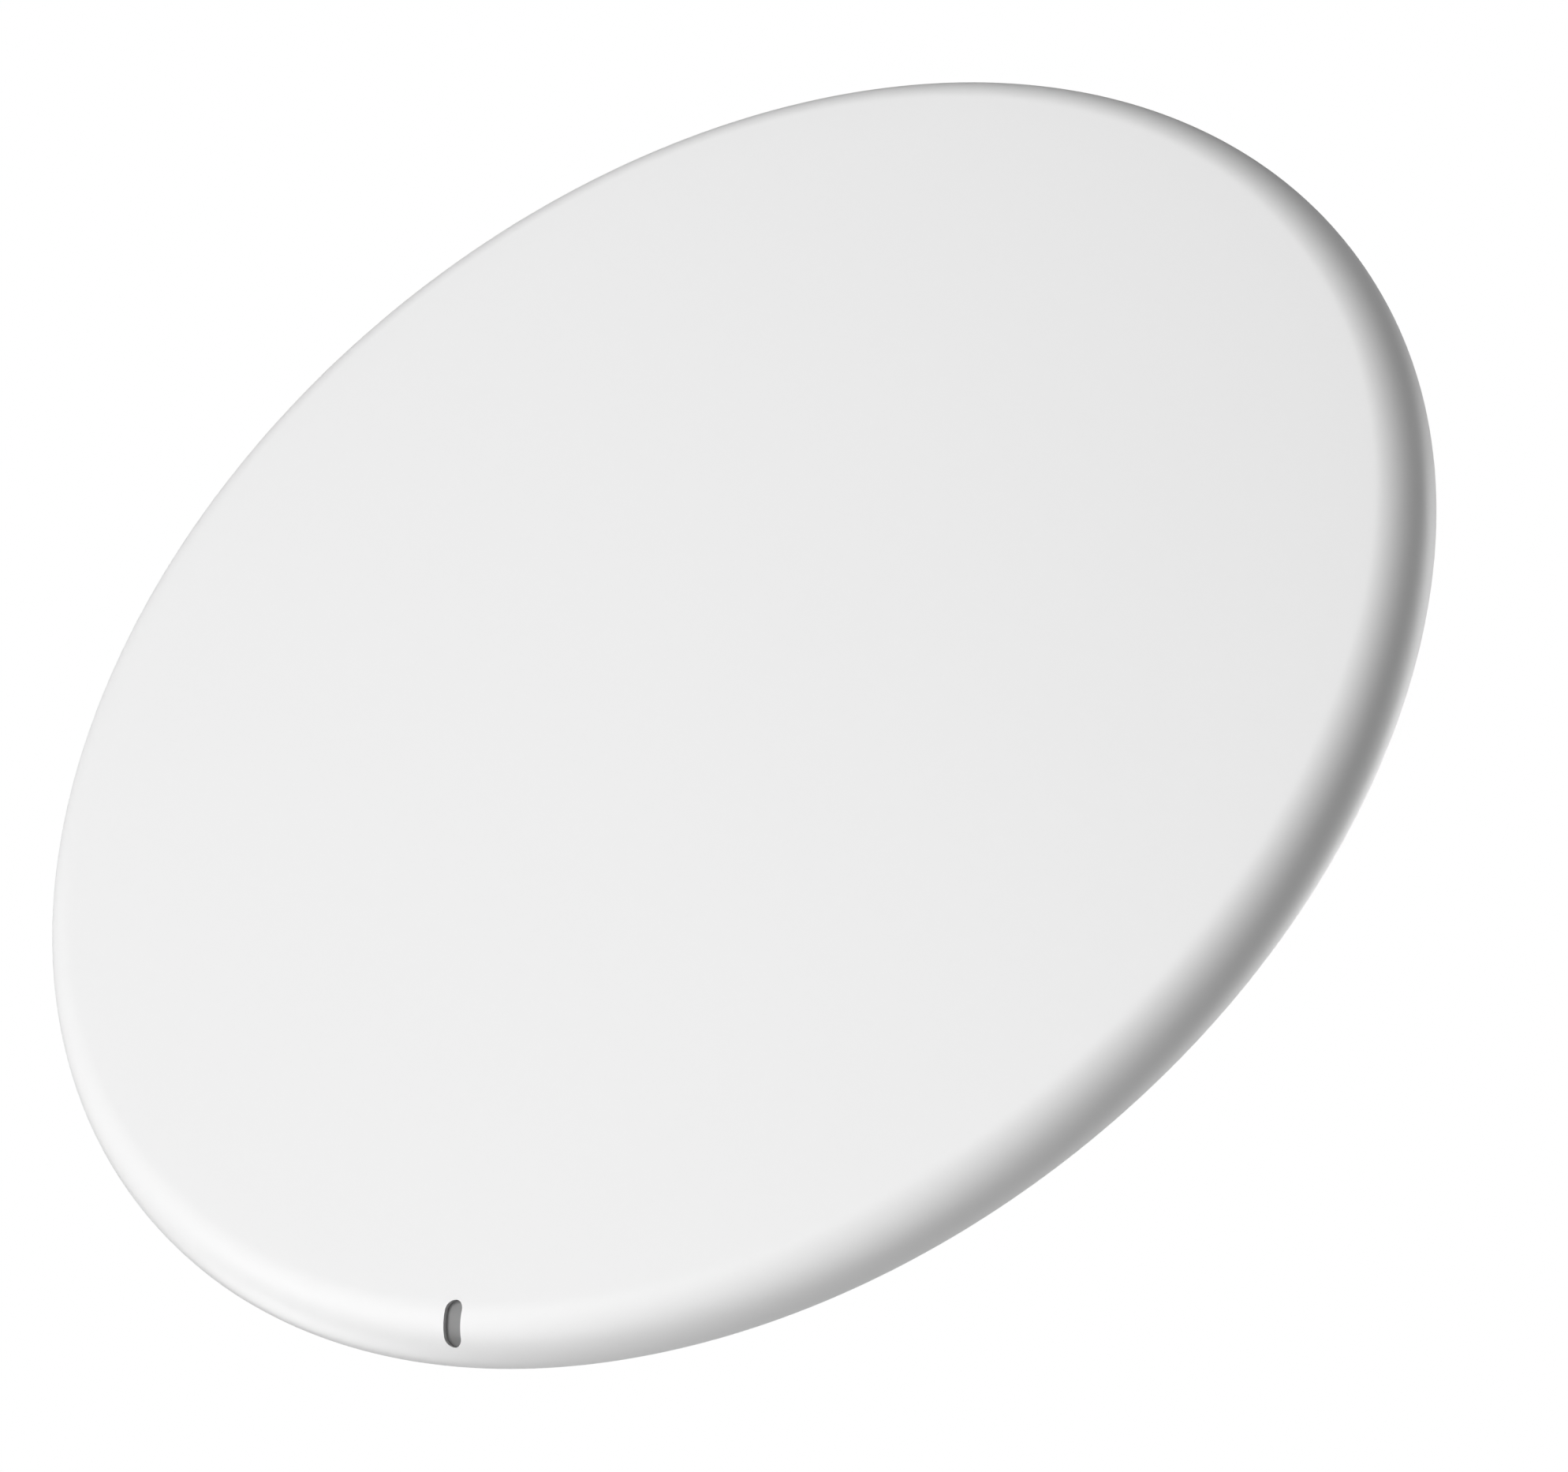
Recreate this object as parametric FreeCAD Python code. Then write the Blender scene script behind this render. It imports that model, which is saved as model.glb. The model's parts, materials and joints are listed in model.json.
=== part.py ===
"""Round ceiling access point: a saucer-shaped casing that twists on to a plate screwed to the ceiling.

Frame: millimetres, +Z up. The origin is the centre of the ceiling plane, where the mounting plate's
back meets the ceiling, so the whole object hangs below Z = 0 and its plain white face looks down.
The status light is on the -Y side and the two keys are on the +Y side.
"""
import FreeCAD, Part
import math
import os

Vec = FreeCAD.Vector
ORIGIN = Vec(0, 0, 0)
ALONG_X = Vec(1, 0, 0)
ALONG_Y = Vec(0, 1, 0)
UP = Vec(0, 0, 1)

# ---------------------------------------------------------------- driving sizes, millimetres
# front cover
cover_diameter = 185.0
overall_height = 31.0
cover_wall = 2.2
shoulder_radius = 5.4        # rounding from the face to the widest point
face_dome_radius = 7500.0    # the face is very slightly crowned
rim_land = 0.6               # short upright wall at the widest point
rim_rib_count = 24
rim_rib_thickness = 1.2
rim_rib_length = 6.0

# mounting plate and the twist lock
plate_radius = 50.0
plate_thickness = 2.0
plate_wall = 2.5             # thickness of the plate's downward wall
plate_depth = 4.6            # depth of that wall below the ceiling
lug_reach = 4.0              # how far the lugs stand out of the plate
lug_thickness = 1.7
lug_count = 4
lug_angle = 26.0
lip_angle = 24.0
lug_play = 0.3               # gap between a lug and the lip that hangs on it
twist_gap = 0.5              # radial gap between the plate and the housing
deck_gap = 1.0               # gap under the plate's wall, down to the cable bay's deck
stop_angle = 2.4             # width of the stop block at the end of each lug
stop_play_angle = 0.5
stop_top_gap = 0.2           # the stop blocks end this far below the housing's back
box_screw_narrow = 60.0      # screw spacing of a round wall box, along X
box_screw_wide = 83.3        # screw spacing of a long wall box, along Y
box_screw_hole = 4.5
box_screw_land = 9.0
plate_rib_count = 12
plate_rib_thickness = 1.2
plate_rib_depth = 1.2

# rear housing
housing_wall = 2.0
ceiling_gap = 1.0            # the housing's back stays this far below the ceiling
back_edge_radius = 2.4
deck_ledge = (2.0, 1.5)      # width and thickness of the ledge that carries the cable bay's deck
deck_play = 0.05             # radial, round that deck
back_land = 0.4              # flat left between a screw well and the rounded back edge
side_run = 26.5              # the flared side leans in by at most this much
side_room = 41.5             # the cover stands out at least this far past the plate's edge
side_bulge = 1.6             # how far the flared side bows out of a straight cone
flange_thickness = 1.4
flange_step = 1.55           # width of the ledge between the rim groove and the flared side
rim_fit = 0.35               # radial gap between the cover's rim and the housing's flange

# detent leaf spring riveted under the plate; its bend drops into a groove of the cable bay's deck
spring_thickness = 0.4
spring_width = 4.0
spring_half_span = 13.0
spring_foot = 4.0            # flat length at each end
spring_inset = 10.0          # from the plate's edge in to the spring's middle
spring_azimuth = 45.0
spring_side_gap = 1.0
detent_depth = 0.6
detent_flat = 2.4            # width of the leaf's lowest, level part
detent_play = 0.12
rivet_radius = 0.8
rivet_head_radius = 1.4
rivet_head_height = 0.6
rivet_depth = 1.2            # how far a rivet goes up into the plate

# cable bay in the back
bay_width = 50.0
bay_length = 34.0
bay_front_y = 2.0            # inner face of the bay's wall that carries the sockets
bay_wall = 1.6
bay_floor = 1.4
bay_floor_drop = 0.3         # the floor lies this far below the network sockets' mouths
bay_corner = 2.0
cable_hole_inset = (4.0, 3.0)        # from the bay's sides in to the plate's cable hole
cable_hole_corner = 5.0
cable_hole_rim = 1.5         # width of the stiffening rim round it
socket_gap = 0.15            # between a socket and its window in the bay's wall

# network sockets
lan_width = 16.0
lan_height = 13.4
lan_length = 21.3
lan_head_gap = 0.2           # at least this much between a socket and the cable bay's deck
lan_shell = 0.4
lan_mouth_width = 11.8
lan_mouth_height = 7.2
lan_mouth_depth = 14.0
lan_key_width = 6.2
lan_key_height = 2.4
lan_mouth_lift = 2.1         # from the board up to the mouth's lower edge
lan_positions = (-15.0, 2.8)
contact_count = 8
contact_pitch = 1.02
contact_width = 0.45
contact_thickness = 0.35
contact_rise = 1.9           # how far the sprung end stands up into the plug's cavity
contact_inset = (3.0, 1.5)   # from the mouth, and from the cavity's end
link_light_size = (2.4, 0.9, 1.6)
link_light_margin = (0.3, 0.5)       # from the shield's side and top
link_light_pocket = 1.0

# power socket
power_width = 9.0
power_height = 11.0
power_length = 14.4
power_bore = 6.3
power_bore_depth = 9.6
power_pin = 2.0
power_pin_inset = 1.0        # the pin's tip stays this far inside the mouth
power_axis_lift = 6.4        # from the board up to the bore's axis
power_x = 18.0

# main board and its fixings
board_thickness = 1.6
board_edge_gap = 0.4         # between the keys' wall and the board's edge
front_room = 4.0             # between the board and the inside of the face
board_post_inset = 0.8       # from the recess's radius in to the posts
board_post_radius = 3.2
board_screw_pilot = 0.95
board_screw_thread = 0.9
board_screw_play = 0.4
board_screw_reach = 5.0      # above the board
board_pilot_reach = 6.0
board_screw_head = 2.2
board_screw_head_height = 1.5
drive_length = 2.4           # cross-shaped recess in every screw head
drive_width = 0.6
drive_depth = 1.0

# case screws, from the back through wells of the housing into bosses of the cover
case_well_margin = 2.3       # between the recess and a well
case_well_radius = 3.2
case_well_wall = 1.3
case_well_floor = 2.0
case_screw_thread = 1.5
case_screw_length = 9.0
case_screw_head = 2.8
case_screw_head_height = 2.0
case_screw_count = 4
case_boss_radius = 3.4
case_joint_lift = 6.0        # a well meets its boss this far above the board
thread_play = 0.15
boss_play = 0.9
pilot_floor = 1.0            # solid left under a boss's pilot hole

# status light
light_azimuth = -90.0
light_slot_length = 5.3      # it starts where the face meets the shoulder
light_slot_width = 2.3
light_slot_tilt = 28.0       # the slot's chord leans up this many degrees over the shoulder
light_slot_reach = 4.0
light_pipe_play = 0.06
light_pipe_recess = 0.5
light_pipe_reach = 3.4
light_pipe_head_gap = 0.3    # under the housing's flange
light_bar_lift = 0.9         # above the inside of the face
light_bar_height = 1.1
light_bar_overlap = 0.6      # how far the bar runs in under the slot
led_inset = 4.0              # from the board's edge in to the lamp
led_size = (2.8, 3.2, 1.3)
led_lens = (1.1, 0.3)        # radius and height
led_gap = 0.1

# keys
key_face_inset = 11.5        # the keys' flat pocket, in from the cover's widest radius
key_pocket_width = 28.0
key_pocket_lift = 1.1        # pocket floor above the flange
key_wall = 1.6
key_lift = 3.8               # key axis above the board
key_rise = 5.1               # a key axis higher than this above the rim moves the pocket in
mode_key_x = -5.5
mode_key_radius = 2.7
reset_key_x = 7.5
reset_key_radius = 0.9
key_play = 0.2
mode_key_proud = 0.9
reset_key_recess = 0.9
key_tip_rounding = 0.5
key_travel = 0.5
key_collar = 0.8             # how far a collar stands out of its plunger
key_collar_length = 0.7
key_collar_gap = 0.1
switch_size = (6.0, 3.4, 7.0)
switch_gap = 2.8             # from the key wall to the switch body
switch_back = 0.8            # wall left behind the switch's bore
switch_stem_radius = 1.15
switch_stem_play = 0.1
switch_stem_proud = 1.4

# vents
vent_width = 2.0
vent_pitch_angle = 4.4
vents_per_group = 11
vent_groups = (0.0, 180.0)
vent_low = 4.6               # above the flange
vent_high = 13.5
vent_cut_depth = 8.0

# electronics
magnetics_size = (15.0, 11.0, 6.0)
magnetics_gap = 2.5          # behind the network sockets
chip_size = (17.0, 17.0, 1.4)
chip_centre = (22.5, -36.0)
heat_pad_thickness = 0.8
heat_sink_size = (23.0, 28.0, 7.0)
heat_sink_base = 1.6
heat_sink_fins = 7
heat_sink_fin_thickness = 1.1
memory_size = (9.0, 11.0, 1.0)
memory_centres = ((-9.0, -42.0), (2.5, -42.0))
shield_size = (30.0, 24.0, 2.4)
shield_wall = 0.25
shield_centres = ((-24.0, -18.0), (24.0, -18.0))
shield_hole_radius = 0.7
shield_hole_pitch = 4.0
shield_hole_rows = 5
folded_antenna_plate = (26.0, 7.0)
folded_antenna_height = 3.0
folded_antenna_sheet = 0.4
folded_antenna_inset = 8.0   # from the board's edge in to the plate's middle
folded_antenna_azimuths = (150.0, 30.0)
antenna_leg_width = 1.6
antenna_leg_pitch = 9.0
antenna_notch = (4.2, 1.2)
antenna_notch_y = 6.0
strip_antenna_size = (22.0, 0.8, 2.8)
strip_antenna_inset = 4.5    # from the board's edge in to the strip
strip_antenna_azimuths = (-142.0, -38.0)
coax_diameter = 1.13
coax_plug_centre = (43.0, -20.0)     # right-hand one; the left is its mirror image
coax_plug_radius = 1.3
coax_plug_height = 1.2
coax_first_run = (6.5, 0.0)
coax_second_run = (2.0, -11.5)
coax_last_run = 8.0
transformer_size = (14.0, 15.0, 11.5)
transformer_centre = (-41.0, 12.0)
transformer_yoke = (2.4, 2.4)        # ferrite above and below the winding
transformer_leg = 4.0                # ferrite in front of and behind the winding
transformer_foot = 0.6
transformer_winding_inset = 1.5
capacitor_radius = 4.0
capacitor_height = 11.5
capacitor_rounding = 0.5
capacitor_centres = ((-36.0, -6.0), (-46.5, -6.0), (38.0, -10.0))
inductor_size = (8.0, 8.0, 4.0)
inductor_centres = ((36.0, 4.0), (36.0, 16.0), (47.0, 10.0))
label_size = (52.0, 18.0, 0.15)
label_y = -30.0

# making
past = 1.0                   # how far a cut runs beyond the face that it opens
merge = 0.2                  # how far a rib or lip reaches into the wall that carries it

# ---------------------------------------------------------------- places worked out from them
cover_radius = max(cover_diameter / 2, plate_radius + side_room)
socket_depth = (plate_depth + deck_gap + housing_wall + lan_head_gap + lan_height
                + board_thickness + front_room + cover_wall)
face_z = -max(overall_height, socket_depth)      # deeper only where tall sockets need the room
shoulder_x = cover_radius - shoulder_radius
dome_centre_z = face_z + face_dome_radius
shoulder_z = dome_centre_z - math.sqrt((face_dome_radius - shoulder_radius) ** 2 - shoulder_x ** 2)
rim_z = shoulder_z + rim_land
cover_inner_radius = cover_radius - cover_wall
cover_inner_z = face_z + cover_wall

plate_under_z = -plate_thickness
plate_low_z = -plate_depth
lug_top_z = plate_low_z + lug_thickness
back_z = -ceiling_gap
lip_low_z = lug_top_z + lug_play
recess_radius = plate_radius + lug_reach + twist_gap
deck_top_z = plate_low_z - deck_gap
deck_low_z = deck_top_z - housing_wall
spring_radius = plate_radius - spring_inset

case_screw_circle = recess_radius + case_well_margin + case_well_radius
back_radius = max(case_screw_circle + case_well_radius + back_land + back_edge_radius,
                  cover_radius - side_run)
flange_radius = cover_inner_radius - rim_fit
flange_low_z = rim_z - flange_thickness
side_foot_radius = flange_radius - flange_step

board_low_z = cover_inner_z + front_room
board_top_z = board_low_z + board_thickness
case_joint_z = board_top_z + case_joint_lift
case_seat_z = case_joint_z + case_well_floor

bay_floor_z = board_top_z + lan_mouth_lift - bay_floor_drop
bay_middle_y = bay_front_y + bay_length / 2
key_z = board_top_z + key_lift
key_face_y = cover_radius - key_face_inset - max(0.0, key_z - rim_z - key_rise)
key_pocket_z = rim_z + key_pocket_lift
board_radius = key_face_y - key_wall - board_edge_gap
switch_front_y = key_face_y - key_wall - switch_gap
led_radius = board_radius - led_inset
led_low_z = board_low_z - led_size[2]


# ---------------------------------------------------------------- small builders
def polar(radius, azimuth, z=0.0):
    angle = math.radians(azimuth)
    return Vec(radius * math.cos(angle), radius * math.sin(angle), z)


def turned(shape, azimuth):
    copy = shape.copy()
    copy.rotate(ORIGIN, UP, azimuth)
    return copy


def cylinder(radius, low, high, centre=ORIGIN):
    return Part.makeCylinder(radius, high - low, Vec(centre.x, centre.y, low), UP)


def ring(outer, inner, low, high):
    return cylinder(outer, low, high).cut(cylinder(inner, low - past, high + past))


def rod_along_y(radius, start_y, end_y, x, z):
    return Part.makeCylinder(radius, end_y - start_y, Vec(x, start_y, z), ALONG_Y)


def box(low_corner, high_corner):
    size = Vec(*high_corner) - Vec(*low_corner)
    return Part.makeBox(size.x, size.y, size.z, Vec(*low_corner))


def block(size_x, size_y, low, high, x=0.0, y=0.0):
    """An upright box centred on (x, y)."""
    return box((x - size_x / 2, y - size_y / 2, low), (x + size_x / 2, y + size_y / 2, high))


def rounded_block(size_x, size_y, low, high, corner, x=0.0, y=0.0):
    body = block(size_x, size_y, low, high, x, y)
    upright = [e for e in body.Edges if abs(e.tangentAt(e.FirstParameter).z) > 0.99]
    return body.makeFillet(corner, upright)


def face_inside(curves):
    return Part.Face(Part.Wire([curve.toShape() for curve in curves]))


def sheet(points, thickness):
    """The flat outline through the points, thickened by a vector."""
    return Part.Face(Part.makePolygon(points + [points[0]])).extrude(thickness)


def sector(outer, inner, low, high, start, sweep):
    """A piece of a ring from azimuth start, over sweep degrees."""
    middle = start + sweep / 2
    end = start + sweep
    curves = [
        Part.LineSegment(polar(inner, start, low), polar(outer, start, low)),
        Part.Arc(polar(outer, start, low), polar(outer, middle, low), polar(outer, end, low)),
        Part.LineSegment(polar(outer, end, low), polar(inner, end, low)),
        Part.Arc(polar(inner, end, low), polar(inner, middle, low), polar(inner, start, low)),
    ]
    return face_inside(curves).extrude(Vec(0, 0, high - low))


def stadium_rod(centre, along, across, length, width, reach):
    """A rod with a stadium-shaped section, its long side along one direction, pushed out by reach."""
    straight = along * (length / 2 - width / 2)
    half = across * (width / 2)
    tip = along * (length / 2)
    low_side = (centre - straight - half, centre + straight - half)
    high_side = (centre + straight + half, centre - straight + half)
    curves = [
        Part.LineSegment(*low_side),
        Part.Arc(low_side[1], centre + tip, high_side[0]),
        Part.LineSegment(*high_side),
        Part.Arc(high_side[1], centre - tip, low_side[0]),
    ]
    return face_inside(curves).extrude(reach)


def line(start, end):
    return Part.LineSegment(Vec(start[0], 0, start[1]), Vec(end[0], 0, end[1]))


def arc(start, middle, end):
    return Part.Arc(Vec(start[0], 0, start[1]), Vec(middle[0], 0, middle[1]), Vec(end[0], 0, end[1]))


def spun(curves):
    """The solid made by turning a closed X-Z outline about Z."""
    return face_inside(curves).revolve(ORIGIN, UP, 360)


def fused(pieces):
    return pieces[0].fuse(pieces[1:]).removeSplitter()


def rims_at(shape, height):
    """The full-circle edges of a shape at one height."""
    return [e for e in shape.Edges if len(e.Vertexes) == 1 and abs(e.CenterOfMass.z - height) < 1e-6]


def cross_recess(place, low, high):
    return block(drive_length, drive_width, low, high, place.x, place.y).fuse(
        block(drive_width, drive_length, low, high, place.x, place.y))


# ---------------------------------------------------------------- shared outlines and places
def cover_form(inset):
    """The cover's outer form, closed up at the rim, with every wall moved in by inset."""
    corner = shoulder_radius - inset
    sphere = face_dome_radius - inset
    lean = math.asin(shoulder_x / (face_dome_radius - shoulder_radius))
    pole = (0.0, dome_centre_z - sphere)
    half = (sphere * math.sin(lean / 2), dome_centre_z - sphere * math.cos(lean / 2))
    edge = (sphere * math.sin(lean), dome_centre_z - sphere * math.cos(lean))
    turn = (lean - math.pi / 2) / 2
    middle = (shoulder_x + corner * math.cos(turn), shoulder_z + corner * math.sin(turn))
    widest = (shoulder_x + corner, shoulder_z)
    top = (shoulder_x + corner, rim_z)
    centre = (0.0, rim_z)
    return spun([arc(pole, half, edge), arc(edge, middle, widest), line(widest, top),
                 line(top, centre), line(centre, pole)])


def side_radius(z):
    """Outer radius of the housing's flared side at a height."""
    t = (z - rim_z) / (back_z - rim_z)
    straight = side_foot_radius + (back_radius - side_foot_radius) * t
    return straight + 4 * side_bulge * t * (1 - t)


def housing_form(inset, low, high):
    """The flared side between two heights as a solid, its wall moved in by inset."""
    middle = (low + high) / 2
    bottom = (side_radius(low) - inset, low)
    halfway = (side_radius(middle) - inset, middle)
    top = (side_radius(high) - inset, high)
    return spun([line((0.0, low), bottom), arc(bottom, halfway, top), line(top, (0.0, high)),
                 line((0.0, high), (0.0, low))])


def case_screw_places():
    return [polar(case_screw_circle, 360.0 / case_screw_count * k) for k in range(case_screw_count)]


def board_post_places():
    return [polar(recess_radius - board_post_inset, 45.0 + 90.0 * k) for k in range(4)]


def box_screw_places():
    return [Vec(-box_screw_narrow / 2, 0, 0), Vec(box_screw_narrow / 2, 0, 0),
            Vec(0, -box_screw_wide / 2, 0), Vec(0, box_screw_wide / 2, 0)]


def rivet_places():
    middle = polar(spring_radius, spring_azimuth)
    along = polar(spring_half_span - spring_foot / 2, spring_azimuth + 90.0)
    return [middle - along, middle + along]


# ---------------------------------------------------------------- front cover and its light
def light_prism(play, reach_in, reach_out):
    """A stadium-shaped rod through the shoulder at the status light, square to the slot's chord."""
    tilt = math.radians(light_slot_tilt)
    along = Vec(math.cos(tilt), 0, math.sin(tilt))
    outward = Vec(math.sin(tilt), 0, -math.cos(tilt))
    start = Vec(shoulder_x, 0, shoulder_z - shoulder_radius)
    base = start + along * (light_slot_length / 2) - outward * reach_in
    rod = stadium_rod(base, along, ALONG_Y, light_slot_length - 2 * play, light_slot_width - 2 * play,
                      outward * (reach_in + reach_out))
    return turned(rod, light_azimuth)


def rim_ribs():
    """Short upright ribs inside the rim, which the housing's flange sits on."""
    inside = cover_form(cover_wall - merge)
    rib = box((cover_inner_radius - rim_rib_length, -rim_rib_thickness / 2, face_z),
              (cover_inner_radius, rim_rib_thickness / 2, flange_low_z))
    pitch = 360.0 / rim_rib_count
    return [turned(rib, (k + 0.5) * pitch).common(inside) for k in range(rim_rib_count)]


def front_cover():
    mouth = cylinder(cover_inner_radius, shoulder_z, rim_z + past)
    shell = cover_form(0.0).cut([cover_form(cover_wall), mouth])
    bosses = [cylinder(case_boss_radius, cover_inner_z - merge, case_joint_z, place)
              for place in case_screw_places()]
    pilots = [cylinder(case_screw_thread + thread_play, cover_inner_z + pilot_floor, case_joint_z + past,
                       place) for place in case_screw_places()]
    slot = light_prism(0.0, light_slot_reach, light_slot_reach)
    return fused([shell] + rim_ribs() + bosses).cut(pilots + [slot])


def light_pipe():
    """Clear rod that fills the slot, and a bar that carries light to it from the lamp on the board."""
    plug = light_prism(light_pipe_play, light_pipe_reach, light_slot_reach)
    plug = plug.common(cover_form(light_pipe_recess))
    plug = plug.common(cylinder(cover_radius, face_z, flange_low_z - light_pipe_head_gap))
    half_width = light_slot_width / 2 - light_pipe_play
    start_x = led_radius - led_size[1] / 2
    bar_z = cover_inner_z + light_bar_lift
    bar = box((start_x, -half_width, bar_z),
              (shoulder_x + light_bar_overlap, half_width, bar_z + light_bar_height))
    foot = box((start_x, -half_width, bar_z), (start_x + led_size[1], half_width, led_low_z - led_gap))
    carrier = turned(bar.fuse(foot), light_azimuth).common(cover_form(cover_wall + led_gap))
    return fused([plug, carrier])


def status_led():
    lens_radius, lens_height = led_lens
    middle = polar(led_radius, light_azimuth)
    base_z = led_low_z + lens_height
    base = block(led_size[0], led_size[1], base_z, board_low_z, middle.x, middle.y)
    return fused([base, cylinder(lens_radius, led_low_z, base_z, middle)])


# ---------------------------------------------------------------- rear housing
def housing_shell():
    outer = housing_form(0.0, rim_z, back_z)
    outer = outer.makeFillet(back_edge_radius, rims_at(outer, back_z))
    flange = cylinder(flange_radius, flange_low_z, rim_z)
    inner = housing_form(housing_wall, rim_z, back_z - housing_wall)
    throat = cylinder(side_radius(rim_z) - housing_wall, flange_low_z - past, rim_z)
    return outer.fuse(flange).cut([inner, throat])


def recess_lips():
    """Four lips round the mouth of the recess, which hang on the mounting plate's lugs."""
    return [sector(recess_radius + merge, plate_radius + twist_gap, lip_low_z, back_z,
                   360.0 / lug_count * k - lip_angle / 2, lip_angle) for k in range(lug_count)]


def leaf_run():
    """Level length of one sloping arm of the leaf spring."""
    return spring_half_span - spring_foot - detent_flat / 2


def leaf_rise():
    """Height of one sloping arm of the leaf spring."""
    return plate_under_z - (deck_top_z - detent_depth + detent_play + spring_thickness)


def detent_groove():
    """Groove with ramped sides in the deck, which the leaf spring's bend clicks into."""
    bottom = detent_flat / 2 + spring_thickness / 2 + detent_play
    top = bottom + (detent_depth + past) * leaf_run() / leaf_rise()
    low = deck_top_z - detent_depth
    high = deck_top_z + past
    start_x = spring_radius - spring_width / 2 - spring_side_gap
    corners = [Vec(start_x, -bottom, low), Vec(start_x, bottom, low),
               Vec(start_x, top, high), Vec(start_x, -top, high)]
    return turned(sheet(corners, ALONG_X * (spring_width + 2 * spring_side_gap)), spring_azimuth)


def bay_form(grow, low, high):
    return rounded_block(bay_width + 2 * grow, bay_length + 2 * grow, low, high, bay_corner + grow,
                         0, bay_middle_y)


def socket_windows():
    """Openings in the bay's front wall for the sockets."""
    sockets = [(x, lan_width, lan_height) for x in lan_positions]
    sockets.append((power_x, power_width, power_height))
    back = bay_front_y - bay_wall - past
    return [box((x - width / 2 - socket_gap, back, board_top_z - past),
                (x + width / 2 + socket_gap, bay_front_y + past, board_top_z + height + socket_gap))
            for x, width, height in sockets]


def vents():
    """Upright slots through the flared side, in groups."""
    low = rim_z + vent_low
    high = rim_z + vent_high
    centre = Vec(side_radius(high) - vent_cut_depth, 0, (low + high) / 2)
    slot = stadium_rod(centre, UP, ALONG_Y, high - low, vent_width, ALONG_X * (cover_radius - centre.x))
    first = -(vents_per_group - 1) / 2 * vent_pitch_angle
    return [turned(slot, group + first + k * vent_pitch_angle)
            for group in vent_groups for k in range(vents_per_group)]


def key_pocket():
    """Walls round a flat upright pocket in the flared side, where the two keys come out."""
    half = key_pocket_width / 2
    back_y = key_face_y - key_wall
    wall = box((-half - key_wall, back_y, flange_low_z), (half + key_wall, key_face_y, back_z))
    floor = box((-half - key_wall, back_y, rim_z - key_wall),
                (half + key_wall, cover_radius, key_pocket_z))
    left = box((-half - key_wall, back_y, flange_low_z), (-half, cover_radius, back_z))
    right = box((half, back_y, flange_low_z), (half + key_wall, cover_radius, back_z))
    ledge = cylinder(side_radius(rim_z), flange_low_z, rim_z)
    return fused([wall, floor, left, right]).common(housing_form(0.0, rim_z, back_z).fuse(ledge))


def key_pocket_cuts():
    half = key_pocket_width / 2
    pocket = box((-half, key_face_y, key_pocket_z), (half, cover_radius, back_z))
    start_y = key_face_y - key_wall - past
    mode_hole = rod_along_y(mode_key_radius + key_play, start_y, cover_radius, mode_key_x, key_z)
    reset_hole = rod_along_y(reset_key_radius + key_play, start_y, cover_radius, reset_key_x, key_z)
    return [pocket, mode_hole, reset_hole]


def case_wells():
    return [cylinder(case_well_radius + case_well_wall, case_joint_z, back_z, place)
            for place in case_screw_places()]


def case_well_cuts():
    cuts = []
    for place in case_screw_places():
        cuts.append(cylinder(case_well_radius, case_seat_z, back_z + past, place))
        cuts.append(cylinder(case_screw_thread + thread_play, case_joint_z - past, back_z, place))
    return cuts


def board_posts():
    return [cylinder(board_post_radius, board_top_z, deck_low_z, place) for place in board_post_places()]


def board_post_cuts():
    return [cylinder(board_screw_pilot, board_top_z - past, board_top_z + board_pilot_reach, place)
            for place in board_post_places()]


def recess_wall():
    """Wall round the recess for the mounting plate, with a ledge at its foot."""
    ledge_width, ledge_thickness = deck_ledge
    low = deck_low_z - ledge_thickness
    wall = ring(recess_radius + housing_wall, recess_radius, low, back_z)
    ledge = ring(recess_radius + merge, recess_radius - ledge_width, low, deck_low_z)
    return [wall, ledge]


def rear_housing():
    recess = cylinder(recess_radius, deck_low_z, back_z + past)
    body = fused([housing_shell(), key_pocket()] + recess_wall() + case_wells() + board_posts())
    body = body.cut([recess] + case_well_cuts() + board_post_cuts() + vents() + key_pocket_cuts())
    return fused([body] + recess_lips())


def cable_bay():
    """Deck that closes the recess, with a tub below it where the cables bend and the plugs go in."""
    deck = cylinder(recess_radius - deck_play, deck_low_z, deck_top_z)
    tub = bay_form(bay_wall, bay_floor_z - bay_floor, deck_top_z)
    hollow = bay_form(0.0, bay_floor_z, deck_top_z + past)
    return fused([deck, tub]).cut([hollow, detent_groove()] + socket_windows())


# ---------------------------------------------------------------- mounting plate and its spring
def cable_hole_form(grow, low, high):
    return rounded_block(bay_width - 2 * cable_hole_inset[0] + 2 * grow,
                         bay_length - 2 * cable_hole_inset[1] + 2 * grow, low, high,
                         cable_hole_corner + grow, 0, bay_middle_y)


def plate_lugs():
    """Lugs round the plate's lower edge, each with a stop block that ends the twist."""
    pieces = []
    for k in range(lug_count):
        middle = 360.0 / lug_count * k
        stop_start = middle + lip_angle / 2 + stop_play_angle
        start = middle - lug_angle / 2
        outer = plate_radius + lug_reach
        inner = plate_radius - plate_wall / 2
        pieces.append(sector(outer, inner, plate_low_z, lug_top_z, start, stop_start + stop_angle - start))
        pieces.append(sector(outer, inner, plate_low_z, back_z - stop_top_gap, stop_start, stop_angle))
    return pieces


def plate_ribs():
    rib = box((0, -plate_rib_thickness / 2, plate_under_z - plate_rib_depth),
              (plate_radius - plate_wall / 2, plate_rib_thickness / 2, plate_under_z))
    pitch = 360.0 / plate_rib_count
    return [turned(rib, (k + 0.5) * pitch) for k in range(plate_rib_count)]


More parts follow.
